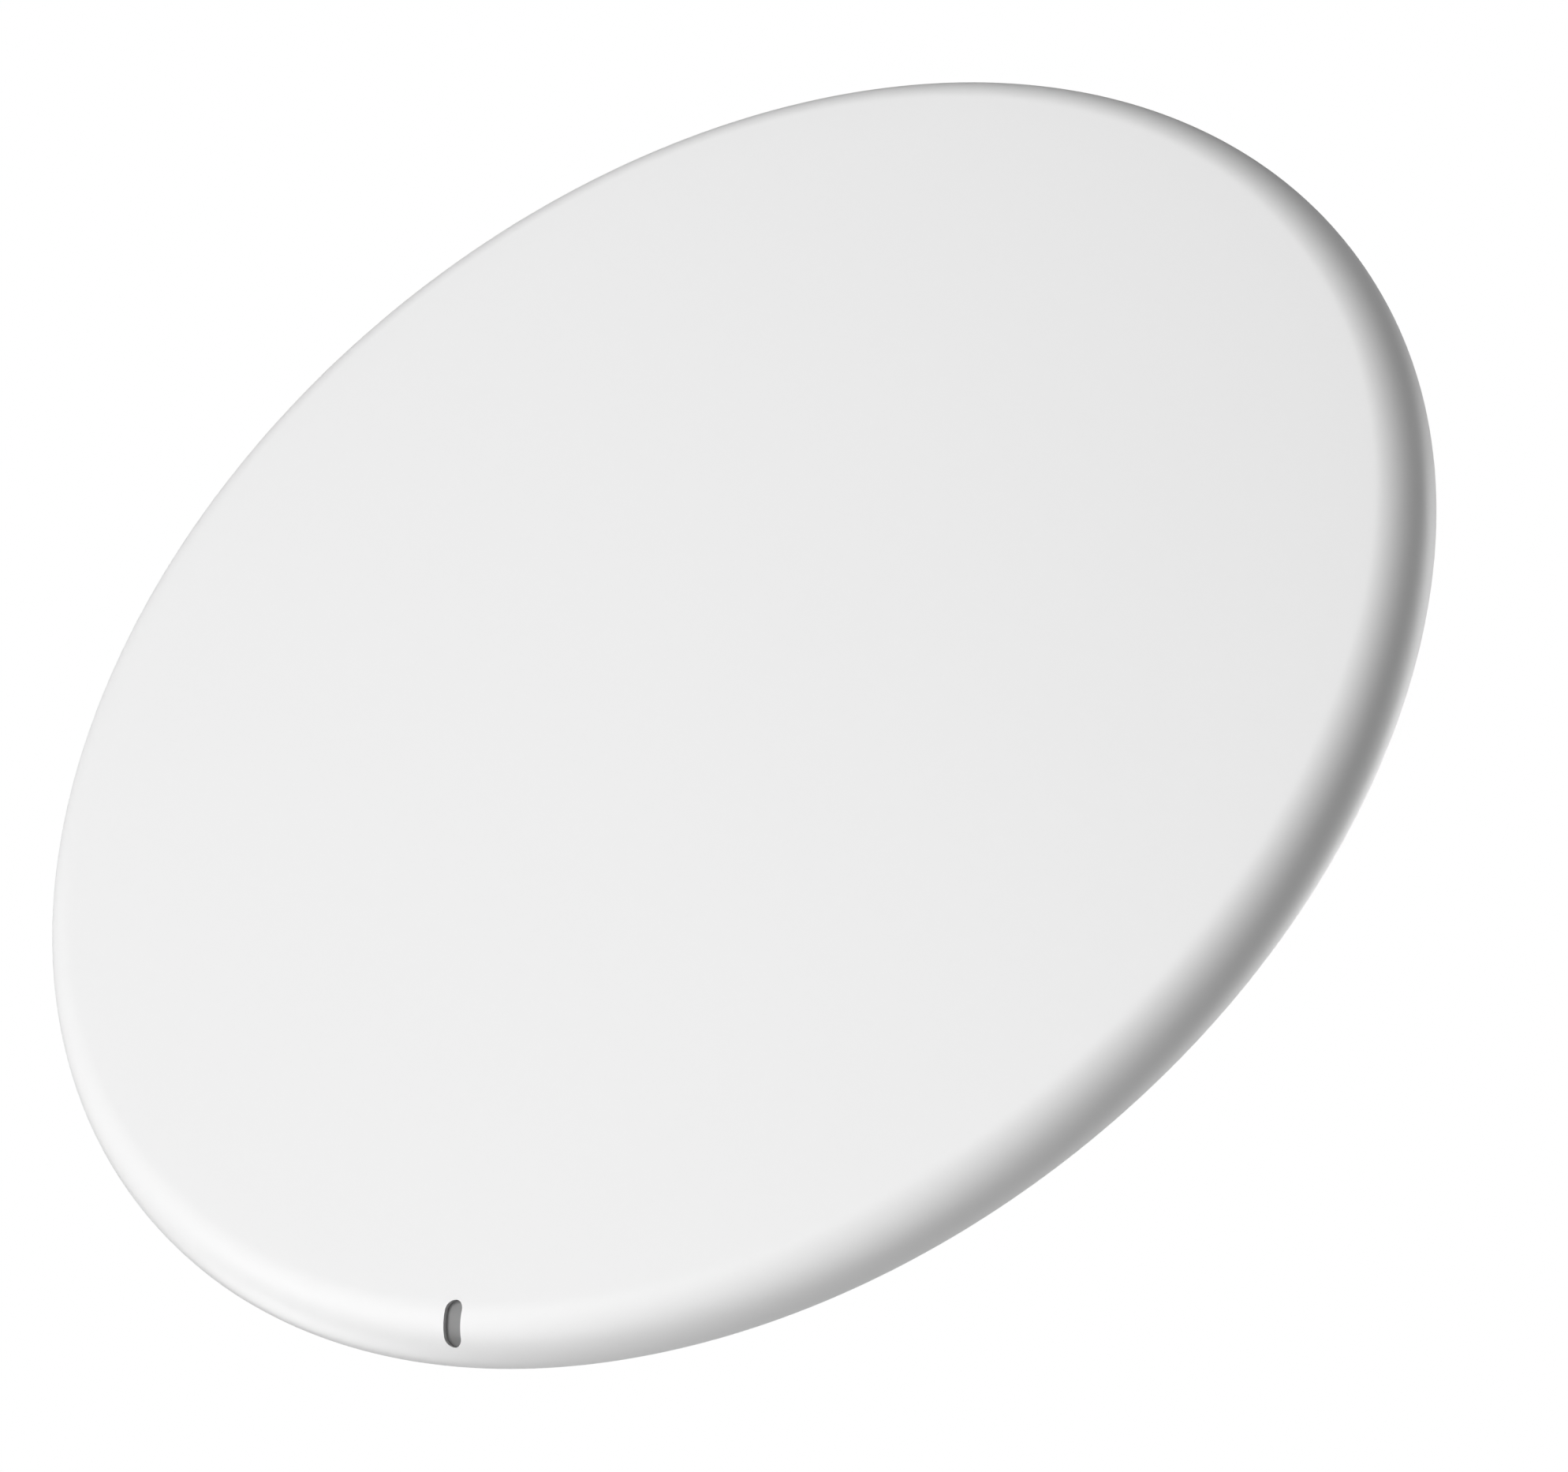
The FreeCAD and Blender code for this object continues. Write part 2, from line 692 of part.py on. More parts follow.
def spring_clearance():
    """Space cut out of the ribs round the leaf spring."""
    gap = spring_side_gap
    half_width = spring_width / 2 + gap
    half_span = spring_half_span + gap
    space = box((spring_radius - half_width, -half_span, plate_under_z - plate_rib_depth),
                (spring_radius + half_width, half_span, plate_under_z))
    return turned(space, spring_azimuth)


def mounting_plate():
    rib_z = plate_under_z - plate_rib_depth
    disc = cylinder(plate_radius, plate_under_z, 0.0)
    wall = ring(plate_radius, plate_radius - plate_wall, plate_low_z, plate_under_z)
    hole_rim = cable_hole_form(cable_hole_rim, rib_z, plate_under_z)
    lands = [cylinder(box_screw_land / 2, rib_z, plate_under_z, place) for place in box_screw_places()]
    body = fused([disc, wall, hole_rim] + plate_lugs() + plate_ribs() + lands)
    holes = [cylinder(box_screw_hole / 2, plate_low_z, past, place) for place in box_screw_places()]
    holes += [cylinder(rivet_radius, plate_under_z - past, plate_under_z + rivet_depth, place)
              for place in rivet_places()]
    holes.append(cable_hole_form(0.0, plate_low_z, past))
    return body.cut(holes + [spring_clearance()])


def detent_spring():
    """Bent steel strip across the turning direction, flat at its ends and lowest in the middle."""
    top = plate_under_z
    low = top - leaf_rise()
    thick = spring_thickness
    knee = spring_half_span - spring_foot
    flat = detent_flat / 2
    outline = [(-spring_half_span, top), (-knee, top), (-flat, low), (flat, low), (knee, top),
               (spring_half_span, top), (spring_half_span, top - thick), (knee + thick / 2, top - thick),
               (flat + thick / 2, low - thick), (-flat - thick / 2, low - thick),
               (-knee - thick / 2, top - thick), (-spring_half_span, top - thick)]
    start_x = spring_radius - spring_width / 2
    strip = sheet([Vec(start_x, y, z) for y, z in outline], ALONG_X * spring_width)
    holes = [cylinder(rivet_radius, top - past, top + past, place) for place in rivet_places()]
    return turned(strip, spring_azimuth).cut(holes)


def spring_rivets():
    head_z = plate_under_z - spring_thickness
    made = []
    for place in rivet_places():
        pin = cylinder(rivet_radius, head_z, plate_under_z + rivet_depth, place)
        head = cylinder(rivet_head_radius, head_z - rivet_head_height, head_z, place)
        made.append(fused([pin, head]))
    return Part.makeCompound(made)


# ---------------------------------------------------------------- sockets
def lan_mouth(x):
    """The plug's cavity with the notch for its latch, cut back from the bay."""
    low = board_top_z + lan_mouth_lift
    high = low + lan_mouth_height
    back = bay_front_y - lan_mouth_depth
    front = bay_front_y + past
    mouth = box((x - lan_mouth_width / 2, back, low), (x + lan_mouth_width / 2, front, high))
    notch = box((x - lan_key_width / 2, back, low), (x + lan_key_width / 2, front, high + lan_key_height))
    return mouth.fuse(notch)


def link_light_boxes(x, depth):
    width, _, height = link_light_size
    side_margin, top_margin = link_light_margin
    high = board_top_z + lan_height - lan_shell - top_margin
    offset = lan_width / 2 - lan_shell - side_margin - width / 2
    return [box((x + side * offset - width / 2, bay_front_y - depth, high - height),
                (x + side * offset + width / 2, bay_front_y, high)) for side in (-1, 1)]


def lan_shield(x):
    """Folded metal shield of a network socket, open behind and below."""
    high = board_top_z + lan_height
    back = bay_front_y - lan_length
    outer = box((x - lan_width / 2, back, board_top_z), (x + lan_width / 2, bay_front_y, high))
    hollow = box((x - lan_width / 2 + lan_shell, back - past, board_top_z - past),
                 (x + lan_width / 2 - lan_shell, bay_front_y - lan_shell, high - lan_shell))
    return outer.cut([hollow, lan_mouth(x)] + link_light_boxes(x, link_light_pocket))


def lan_core(x):
    """Moulded body inside the shield, with the plug's cavity."""
    half = lan_width / 2 - lan_shell
    body = box((x - half, bay_front_y - lan_length, board_top_z),
               (x + half, bay_front_y - lan_shell, board_top_z + lan_height - lan_shell))
    return body.cut([lan_mouth(x)] + link_light_boxes(x, link_light_pocket))


def lan_contacts(x):
    """Sprung wires that slope up into the plug's cavity from its floor."""
    low = board_top_z + lan_mouth_lift
    near = bay_front_y - contact_inset[0]
    far = bay_front_y - lan_mouth_depth + contact_inset[1]
    first_x = x - (contact_count - 1) / 2 * contact_pitch - contact_width / 2
    wires = []
    for k in range(contact_count):
        side_x = first_x + k * contact_pitch
        profile = [Vec(side_x, near, low), Vec(side_x, far, low + contact_rise),
                   Vec(side_x, far, low + contact_rise + contact_thickness),
                   Vec(side_x, near, low + contact_thickness)]
        wires.append(sheet(profile, ALONG_X * contact_width))
    return Part.makeCompound(wires)


def link_lights():
    return Part.makeCompound([lamp for x in lan_positions
                              for lamp in link_light_boxes(x, link_light_size[1])])


def power_socket():
    body = box((power_x - power_width / 2, bay_front_y - power_length, board_top_z),
               (power_x + power_width / 2, bay_front_y, board_top_z + power_height))
    return body.cut(rod_along_y(power_bore / 2, bay_front_y - power_bore_depth, bay_front_y + past,
                                power_x, board_top_z + power_axis_lift))


def power_socket_pin():
    tip_y = bay_front_y - power_pin_inset
    pin = rod_along_y(power_pin / 2, bay_front_y - power_bore_depth, tip_y, power_x,
                      board_top_z + power_axis_lift)
    tip = [e for e in pin.Edges if len(e.Vertexes) == 1 and abs(e.CenterOfMass.y - tip_y) < 1e-6]
    return pin.makeFillet(power_pin * 0.3, tip)


# ---------------------------------------------------------------- main board and what it carries
def main_board():
    disc = cylinder(board_radius, board_low_z, board_top_z)
    holes = [cylinder(case_boss_radius + boss_play, board_low_z - past, board_top_z + past, place)
             for place in case_screw_places()]
    holes += [cylinder(board_screw_thread + board_screw_play, board_low_z - past, board_top_z + past, place)
              for place in board_post_places()]
    return disc.cut(holes)


def board_screws():
    head_z = board_low_z - board_screw_head_height
    made = []
    for place in board_post_places():
        shank = cylinder(board_screw_thread, board_low_z, board_top_z + board_screw_reach, place)
        head = cylinder(board_screw_head, head_z, board_low_z, place)
        recess = cross_recess(place, head_z - past, head_z + drive_depth)
        made.append(fused([head, shank]).cut(recess))
    return Part.makeCompound(made)


def case_screws():
    head_z = case_seat_z + case_screw_head_height
    made = []
    for place in case_screw_places():
        shank = cylinder(case_screw_thread, case_seat_z - case_screw_length, case_seat_z, place)
        head = cylinder(case_screw_head, case_seat_z, head_z, place)
        head = head.makeFillet(case_screw_head_height / 3, rims_at(head, head_z))
        recess = cross_recess(place, head_z - drive_depth, head_z + past)
        made.append(fused([head, shank]).cut(recess))
    return Part.makeCompound(made)


def on_board(size, centres):
    return Part.makeCompound([block(size[0], size[1], board_top_z, board_top_z + size[2], x, y)
                              for x, y in centres])


def heat_pad():
    low = board_top_z + chip_size[2]
    return block(chip_size[0], chip_size[1], low, low + heat_pad_thickness, *chip_centre)


def heat_sink():
    width, length, height = heat_sink_size
    low = board_top_z + chip_size[2] + heat_pad_thickness
    pieces = [block(width, length, low, low + heat_sink_base, *chip_centre)]
    first_x = chip_centre[0] - (width - heat_sink_fin_thickness) / 2
    pitch = (width - heat_sink_fin_thickness) / (heat_sink_fins - 1)
    for k in range(heat_sink_fins):
        pieces.append(block(heat_sink_fin_thickness, length, low, low + height, first_x + k * pitch,
                            chip_centre[1]))
    return fused(pieces)


def lan_magnetics():
    y = bay_front_y - lan_length - magnetics_gap - magnetics_size[1] / 2
    return on_board(magnetics_size, [(x, y) for x in lan_positions])


def power_transformer():
    """Ferrite frame on a foot, with the round winding through its window."""
    width, length, height = transformer_size
    x, y = transformer_centre
    foot_z = board_top_z + transformer_foot
    top_z = board_top_z + height
    low_yoke, high_yoke = transformer_yoke
    core = block(width, length, foot_z, top_z, x, y)
    window = block(width + past, length - 2 * transformer_leg, foot_z + low_yoke, top_z - high_yoke, x, y)
    foot = block(width, length, board_top_z, foot_z, x, y)
    winding_radius = (top_z - high_yoke - foot_z - low_yoke) / 2 + merge
    half = width / 2 - transformer_winding_inset
    winding = Part.makeCylinder(winding_radius, 2 * half, Vec(x - half, y, (foot_z + top_z) / 2), ALONG_X)
    return fused([core.cut(window), foot, winding])


def capacitors():
    high = board_top_z + capacitor_height
    cans = []
    for x, y in capacitor_centres:
        can = cylinder(capacitor_radius, board_top_z, high, Vec(x, y, 0))
        cans.append(can.makeFillet(capacitor_rounding, rims_at(can, high)))
    return Part.makeCompound(cans)


def radio_shield(centre):
    """Thin metal can under the board, open upwards, with rows of small holes in its cover."""
    width, length, height = shield_size
    low = board_low_z - height
    can = block(width, length, low, board_low_z, *centre)
    hollow = block(width - 2 * shield_wall, length - 2 * shield_wall, low + shield_wall,
                   board_low_z + past, *centre)
    steps = [(k - (shield_hole_rows - 1) / 2) * shield_hole_pitch for k in range(shield_hole_rows)]
    holes = [cylinder(shield_hole_radius, low - past, low + past, Vec(centre[0] + dx, centre[1] + dy, 0))
             for dx in steps for dy in steps]
    return can.cut([hollow] + holes)


def folded_antenna(azimuth):
    """Folded metal strip: a notched plate held off the board by a feed leg and a ground leg."""
    length, width = folded_antenna_plate
    low = board_low_z - folded_antenna_height
    edge_x = board_radius - folded_antenna_inset - width / 2
    plate = box((edge_x, -length / 2, low), (edge_x + width, length / 2, low + folded_antenna_sheet))
    notch_low = -length / 2 + antenna_notch_y
    notch = box((edge_x - past, notch_low, low - past),
                (edge_x + antenna_notch[0], notch_low + antenna_notch[1], board_low_z))
    legs = [box((edge_x, start, low), (edge_x + folded_antenna_sheet, start + antenna_leg_width, board_low_z))
            for start in (-length / 2, -length / 2 + antenna_leg_pitch)]
    return turned(fused([plate.cut(notch)] + legs), azimuth)


def strip_antenna(azimuth):
    length, thick, height = strip_antenna_size
    start_x = board_radius - strip_antenna_inset
    return turned(box((start_x, -length / 2, board_low_z - height),
                      (start_x + thick, length / 2, board_low_z)), azimuth)


def tube(points, diameter):
    """Round tube along straight runs joined by arcs, each arc as large as its two runs allow."""
    edges = []
    start = points[0]
    for before, corner, after in zip(points, points[1:], points[2:]):
        heading = (corner - before).normalize()
        away = (after - corner).normalize()
        half_turn = math.acos(heading.dot(away)) / 2
        trim = 0.45 * min((corner - before).Length, (after - corner).Length)
        radius = trim / math.tan(half_turn)
        print("tube arc radius %.1f mm" % radius)
        arc_start = corner - heading * trim
        arc_end = corner + away * trim
        arc_middle = corner + (away - heading).normalize() * (radius / math.cos(half_turn) - radius)
        edges.append(Part.LineSegment(start, arc_start).toShape())
        edges.append(Part.Arc(arc_start, arc_middle, arc_end).toShape())
        start = arc_end
    edges.append(Part.LineSegment(start, points[-1]).toShape())
    section = Part.Wire([Part.makeCircle(diameter / 2, points[0], points[1] - points[0])])
    return Part.Wire(edges).makePipeShell([section], True, False)


def coax_plug_place(side):
    return Vec(side * coax_plug_centre[0], coax_plug_centre[1], 0)


def coax_lead(side, azimuth):
    """Thin lead from its plug beside the radio shield out to the strip antenna."""
    z = board_low_z - coax_plug_height / 2
    antenna_radius = board_radius - strip_antenna_inset
    start = coax_plug_place(side) + Vec(side * coax_plug_radius, 0, z)
    second = start + Vec(side * coax_first_run[0], coax_first_run[1], 0)
    third = second + Vec(side * coax_second_run[0], coax_second_run[1], 0)
    return tube([start, second, third, polar(antenna_radius - coax_last_run, azimuth, z),
                 polar(antenna_radius, azimuth, z)], coax_diameter)


def coax_plugs():
    return Part.makeCompound([cylinder(coax_plug_radius, board_low_z - coax_plug_height, board_low_z,
                                       coax_plug_place(side)) for side in (-1, 1)])


def rating_label():
    """Blank label stuck to the deck."""
    return block(label_size[0], label_size[1], deck_top_z, deck_top_z + label_size[2], 0, label_y)


# ---------------------------------------------------------------- keys
def switch_body(x):
    """Press switch on the board behind a key, bored for its stem."""
    width, depth, height = switch_size
    back = switch_front_y - depth
    body = box((x - width / 2, back, board_top_z), (x + width / 2, switch_front_y, board_top_z + height))
    return body.cut(rod_along_y(switch_stem_radius + switch_stem_play, back + switch_back,
                                switch_front_y + past, x, key_z))


def switch_stem(x):
    start = switch_front_y - switch_size[1] + switch_back + switch_stem_play + key_travel
    return rod_along_y(switch_stem_radius, start, switch_front_y + switch_stem_proud, x, key_z)


def key_plunger(x, radius, front_y):
    """Plunger from the switch's stem to the outside, with a collar that keeps it in."""
    body = rod_along_y(radius, switch_front_y + switch_stem_proud, front_y, x, key_z)
    tip = [e for e in body.Edges if len(e.Vertexes) == 1 and abs(e.CenterOfMass.y - front_y) < 1e-6]
    body = body.makeFillet(min(key_tip_rounding, radius / 2), tip)
    collar_y = key_face_y - key_wall - key_collar_gap
    collar = rod_along_y(radius + key_collar, collar_y - key_collar_length, collar_y, x, key_z)
    return fused([body, collar])


# ---------------------------------------------------------------- write every node
def socket_nodes():
    nodes = {}
    for number, x in enumerate(lan_positions, 1):
        nodes["lan_socket_%d_shield" % number] = lan_shield(x)
        nodes["lan_socket_%d_core" % number] = lan_core(x)
        nodes["lan_socket_%d_contacts" % number] = lan_contacts(x)
    return nodes


def radio_nodes():
    nodes = {}
    for k, side in enumerate(("left", "right")):
        nodes["radio_shield_" + side] = radio_shield(shield_centres[k])
        nodes["folded_antenna_" + side] = folded_antenna(folded_antenna_azimuths[k])
        nodes["strip_antenna_" + side] = strip_antenna(strip_antenna_azimuths[k])
        nodes["coax_lead_" + side] = coax_lead(2 * k - 1, strip_antenna_azimuths[k])
    return nodes


def all_nodes():
    nodes = {
        "front_cover": front_cover(),
        "light_pipe": light_pipe(),
        "status_led": status_led(),
        "rear_housing": rear_housing(),
        "cable_bay": cable_bay(),
        "mounting_plate": mounting_plate(),
        "detent_spring": detent_spring(),
        "spring_rivets": spring_rivets(),
        "case_screws": case_screws(),
        "main_board": main_board(),
        "board_screws": board_screws(),
        "link_lights": link_lights(),
        "power_socket": power_socket(),
        "power_socket_pin": power_socket_pin(),
        "processor": on_board(chip_size, [chip_centre]),
        "heat_pad": heat_pad(),
        "heat_sink": heat_sink(),
        "memory_chips": on_board(memory_size, memory_centres),
        "lan_magnetics": lan_magnetics(),
        "power_transformer": power_transformer(),
        "capacitors": capacitors(),
        "power_inductors": on_board(inductor_size, inductor_centres),
        "coax_plugs": coax_plugs(),
        "mode_button": key_plunger(mode_key_x, mode_key_radius, key_face_y + mode_key_proud),
        "mode_switch_stem": switch_stem(mode_key_x),
        "mode_switch": switch_body(mode_key_x),
        "reset_button": key_plunger(reset_key_x, reset_key_radius, key_face_y - reset_key_recess),
        "reset_switch_stem": switch_stem(reset_key_x),
        "reset_switch": switch_body(reset_key_x),
        "rating_label": rating_label(),
    }
    nodes.update(socket_nodes())
    nodes.update(radio_nodes())
    return nodes


def main():
    os.makedirs("parts", exist_ok=True)
    for name, shape in all_nodes().items():
        shape.exportStep(os.path.join("parts", name + ".step"))
        valid = all(solid.isValid() for solid in shape.Solids)
        print("%-24s solids %2d  volume %9.1f  valid %s" % (name, len(shape.Solids), shape.Volume, valid))


main()
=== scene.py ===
import json
import math
import bpy
from mathutils import Matrix, Vector

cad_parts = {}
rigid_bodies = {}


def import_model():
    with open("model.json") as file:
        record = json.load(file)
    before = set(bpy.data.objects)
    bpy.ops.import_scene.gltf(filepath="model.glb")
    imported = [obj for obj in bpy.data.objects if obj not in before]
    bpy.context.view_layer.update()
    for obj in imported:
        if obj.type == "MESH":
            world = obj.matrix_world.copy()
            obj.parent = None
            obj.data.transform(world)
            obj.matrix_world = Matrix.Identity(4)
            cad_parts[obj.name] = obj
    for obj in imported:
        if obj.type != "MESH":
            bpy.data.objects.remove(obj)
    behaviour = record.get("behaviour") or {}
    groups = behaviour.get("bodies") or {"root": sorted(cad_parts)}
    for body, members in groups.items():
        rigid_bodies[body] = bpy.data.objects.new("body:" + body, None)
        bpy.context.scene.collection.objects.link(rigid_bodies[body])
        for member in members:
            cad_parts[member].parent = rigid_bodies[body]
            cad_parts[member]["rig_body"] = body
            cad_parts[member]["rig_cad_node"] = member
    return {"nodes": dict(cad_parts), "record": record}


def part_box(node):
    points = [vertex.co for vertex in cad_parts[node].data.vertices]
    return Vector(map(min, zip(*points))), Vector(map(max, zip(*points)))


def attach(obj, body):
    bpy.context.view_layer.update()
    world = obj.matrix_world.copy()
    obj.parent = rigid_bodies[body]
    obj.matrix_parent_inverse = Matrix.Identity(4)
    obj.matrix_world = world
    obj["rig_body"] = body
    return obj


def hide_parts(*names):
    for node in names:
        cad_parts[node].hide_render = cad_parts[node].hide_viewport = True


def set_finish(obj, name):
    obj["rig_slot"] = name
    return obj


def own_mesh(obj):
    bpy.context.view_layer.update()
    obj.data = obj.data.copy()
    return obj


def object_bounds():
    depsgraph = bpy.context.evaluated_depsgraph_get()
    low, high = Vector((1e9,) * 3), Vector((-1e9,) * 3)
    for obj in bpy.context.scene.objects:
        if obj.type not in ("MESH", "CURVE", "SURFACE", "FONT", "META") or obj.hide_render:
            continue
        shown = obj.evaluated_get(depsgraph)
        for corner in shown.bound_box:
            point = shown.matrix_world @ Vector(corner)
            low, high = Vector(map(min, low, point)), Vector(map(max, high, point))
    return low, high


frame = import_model()
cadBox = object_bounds()
nodes = frame["nodes"]
print("stage 1: the packed model is loaded,", len(nodes), "nodes")


# ---- shader building: sockets that can be added and multiplied, and one way to add any node
class Signal:
    def __init__(self, surface, socket):
        self.surface, self.socket = surface, socket

    def __add__(self, other): return self.surface.maths("ADD", self, other)
    def __radd__(self, other): return self.surface.maths("ADD", other, self)
    def __mul__(self, other): return self.surface.maths("MULTIPLY", self, other)
    def __rmul__(self, other): return self.surface.maths("MULTIPLY", other, self)


class Surface:
    def __init__(self, name, **settings):
        self.material = bpy.data.materials.new(name)
        self.material.use_nodes = True
        tree = self.material.node_tree
        self.nodes, self.links = tree.nodes, tree.links
        self.shader = self.nodes["Principled BSDF"]
        for key, value in settings.items():
            self.shader.inputs[key.replace("_", " ")].default_value = value
        self.place = self.node("ShaderNodeTexCoord", output="Object")

    def node(self, kind, settings=None, inputs=None, output=0):
        made = self.nodes.new(kind)
        for key, value in (settings or {}).items():
            setattr(made, key, value)
        for key, value in (inputs or {}).items():
            self.feed(made.inputs[key], value)
        return Signal(self, made.outputs[output])

    def feed(self, socket, value):
        if isinstance(value, Signal):
            self.links.new(value.socket, socket)
        elif socket.type == "RGBA" and len(value) == 3:
            socket.default_value = (*value, 1.0)
        else:
            socket.default_value = value

    def maths(self, operation, first, second):
        return self.node("ShaderNodeMath", {"operation": operation}, {0: first, 1: second})

    def mix(self, factor, first, second):  # of two colours; 6, 7 and 2 are the node's colour sockets
        return self.node("ShaderNodeMix", {"data_type": "RGBA"}, {0: factor, 6: first, 7: second}, output=2)

    def noise(self, scale, detail=2.0, roughness=0.5, stretch=None):
        where = self.place
        if stretch:
            where = self.node("ShaderNodeMapping", inputs={"Vector": self.place, "Scale": stretch})
        return self.node("ShaderNodeTexNoise", inputs={
            "Vector": where, "Scale": scale, "Detail": detail, "Roughness": roughness})

    def spread(self, signal, low, high, fromLow=0.3, fromHigh=0.7):
        return self.node("ShaderNodeMapRange", {"clamp": True}, {
            "Value": signal, "From Min": fromLow, "From Max": fromHigh, "To Min": low, "To Max": high})

    def set(self, socket, value):
        self.feed(self.shader.inputs[socket], value)

    def bump(self, height, distance):
        self.set("Normal", self.node("ShaderNodeBump", inputs={
            "Height": height, "Distance": distance, "Strength": 1.0}))


# ---- mesh tools
mergeDistance = 1e-6
smoothAngle = 35   # edges sharper than this stay sharp


def deselect():
    if bpy.context.object and bpy.context.object.mode != "OBJECT":
        bpy.ops.object.mode_set(mode="OBJECT")
    bpy.ops.object.select_all(action="DESELECT")


def pick(piece, test, kind="FACE"):  # selects parts of a mesh by their middle, and leaves it in edit mode
    bpy.ops.object.mode_set(mode="EDIT")
    bpy.ops.mesh.select_mode(type=kind)
    bpy.ops.mesh.select_all(action="DESELECT")
    bpy.ops.object.mode_set(mode="OBJECT")
    mesh = piece.data
    if kind == "VERT":
        for corner in mesh.vertices:
            corner.select = test(corner.co)
    elif kind == "EDGE":
        for edge in mesh.edges:
            ends = [mesh.vertices[k].co for k in edge.vertices]
            edge.select = test((ends[0] + ends[1]) / 2, ends[1] - ends[0])
    else:
        for face in mesh.polygons:
            face.select = test(face.center, face.normal)
    bpy.ops.object.mode_set(mode="EDIT")


def settle(piece, angle=None):  # the object back at the origin, its place in its mesh
    deselect()
    piece.select_set(True)
    bpy.context.view_layer.objects.active = piece
    bpy.ops.object.transform_apply(location=True, rotation=True, scale=True)
    if angle is not None:
        bpy.ops.object.shade_smooth_by_angle(angle=math.radians(angle))
    return piece


def useModifier(piece, kind, **settings):
    deselect()
    piece.select_set(True)
    bpy.context.view_layer.objects.active = piece
    modifier = piece.modifiers.new(kind.lower(), kind)
    for key, value in settings.items():
        setattr(modifier, key, value)
    bpy.ops.object.modifier_apply(modifier=modifier.name)


def useCutter(piece, cutter, operation):  # the cutter goes once it has cut
    useModifier(piece, "BOOLEAN", object=cutter, operation=operation, solver="EXACT")
    bpy.data.objects.remove(cutter)


def joined(pieces):  # into the first of them
    deselect()
    for piece in pieces:
        piece.select_set(True)
    bpy.context.view_layer.objects.active = pieces[0]
    bpy.ops.object.join()
    return pieces[0]


def block(low, high):  # a box between two corners
    deselect()
    bpy.ops.mesh.primitive_cube_add(size=1, location=[(a + b) / 2 for a, b in zip(low, high)])
    piece = bpy.context.active_object
    piece.scale = [b - a for a, b in zip(low, high)]
    return settle(piece)


def roundedBlock(low, high, radius):
    piece = block(low, high)
    bpy.ops.object.mode_set(mode="EDIT")
    bpy.ops.mesh.select_all(action="SELECT")
    bpy.ops.mesh.bevel(offset=radius, segments=3, affect="EDGES")
    bpy.ops.object.mode_set(mode="OBJECT")
    return piece


def spinProfile(name, points, steps):  # a closed form turned round the vertical axis
    deselect()
    bpy.ops.mesh.primitive_plane_add(size=0.001, location=(points[0][0], 0, points[0][1]))
    piece = bpy.context.active_object
    piece.name = name
    settle(piece)
    bpy.ops.object.mode_set(mode="EDIT")
    bpy.ops.mesh.select_mode(type="VERT")
    bpy.ops.mesh.select_all(action="SELECT")
    bpy.ops.mesh.merge(type="CENTER")
    for (r0, z0), (r1, z1) in zip(points, points[1:]):
        bpy.ops.mesh.extrude_region_move(TRANSFORM_OT_translate={"value": (r1 - r0, 0, z1 - z0)})
    bpy.ops.mesh.select_all(action="SELECT")
    bpy.ops.mesh.spin(steps=steps, angle=2 * math.pi, center=(0, 0, 0), axis=(0, 0, 1))
    bpy.ops.mesh.select_all(action="SELECT")
    bpy.ops.mesh.remove_doubles(threshold=mergeDistance)
    bpy.ops.mesh.normals_make_consistent(inside=False)
    bpy.ops.object.mode_set(mode="OBJECT")
    return piece


def arcPoints(centre, radius, start, end, count):
    angles = [math.radians(start + (end - start) * k / count) for k in range(count + 1)]
    return [(centre[0] + radius * math.cos(a), centre[1] + radius * math.sin(a)) for a in angles]


def stadiumRod(name, length, width, low, high, place, turn):  # a rod with a stadium-shaped section
    deselect()
    bpy.ops.mesh.primitive_circle_add(vertices=slot["sides"], radius=width / 2, fill_type="NGON")
    rod = bpy.context.active_object
    rod.name = name
    pick(rod, lambda at: at.x > 1e-7, "VERT")
    bpy.ops.transform.translate(value=((length - width) / 2, 0, 0))
    pick(rod, lambda at: at.x < 1e-7, "VERT")
    bpy.ops.transform.translate(value=(-(length - width) / 2, 0, 0))
    bpy.ops.mesh.select_all(action="SELECT")
    bpy.ops.transform.translate(value=(0, 0, low))
    bpy.ops.mesh.extrude_region_move(TRANSFORM_OT_translate={"value": (0, 0, high - low)})
    bpy.ops.mesh.select_all(action="SELECT")
    bpy.ops.mesh.normals_make_consistent(inside=False)
    bpy.ops.object.mode_set(mode="OBJECT")
    rod.location, rod.rotation_euler = place, turn
    return settle(rod)


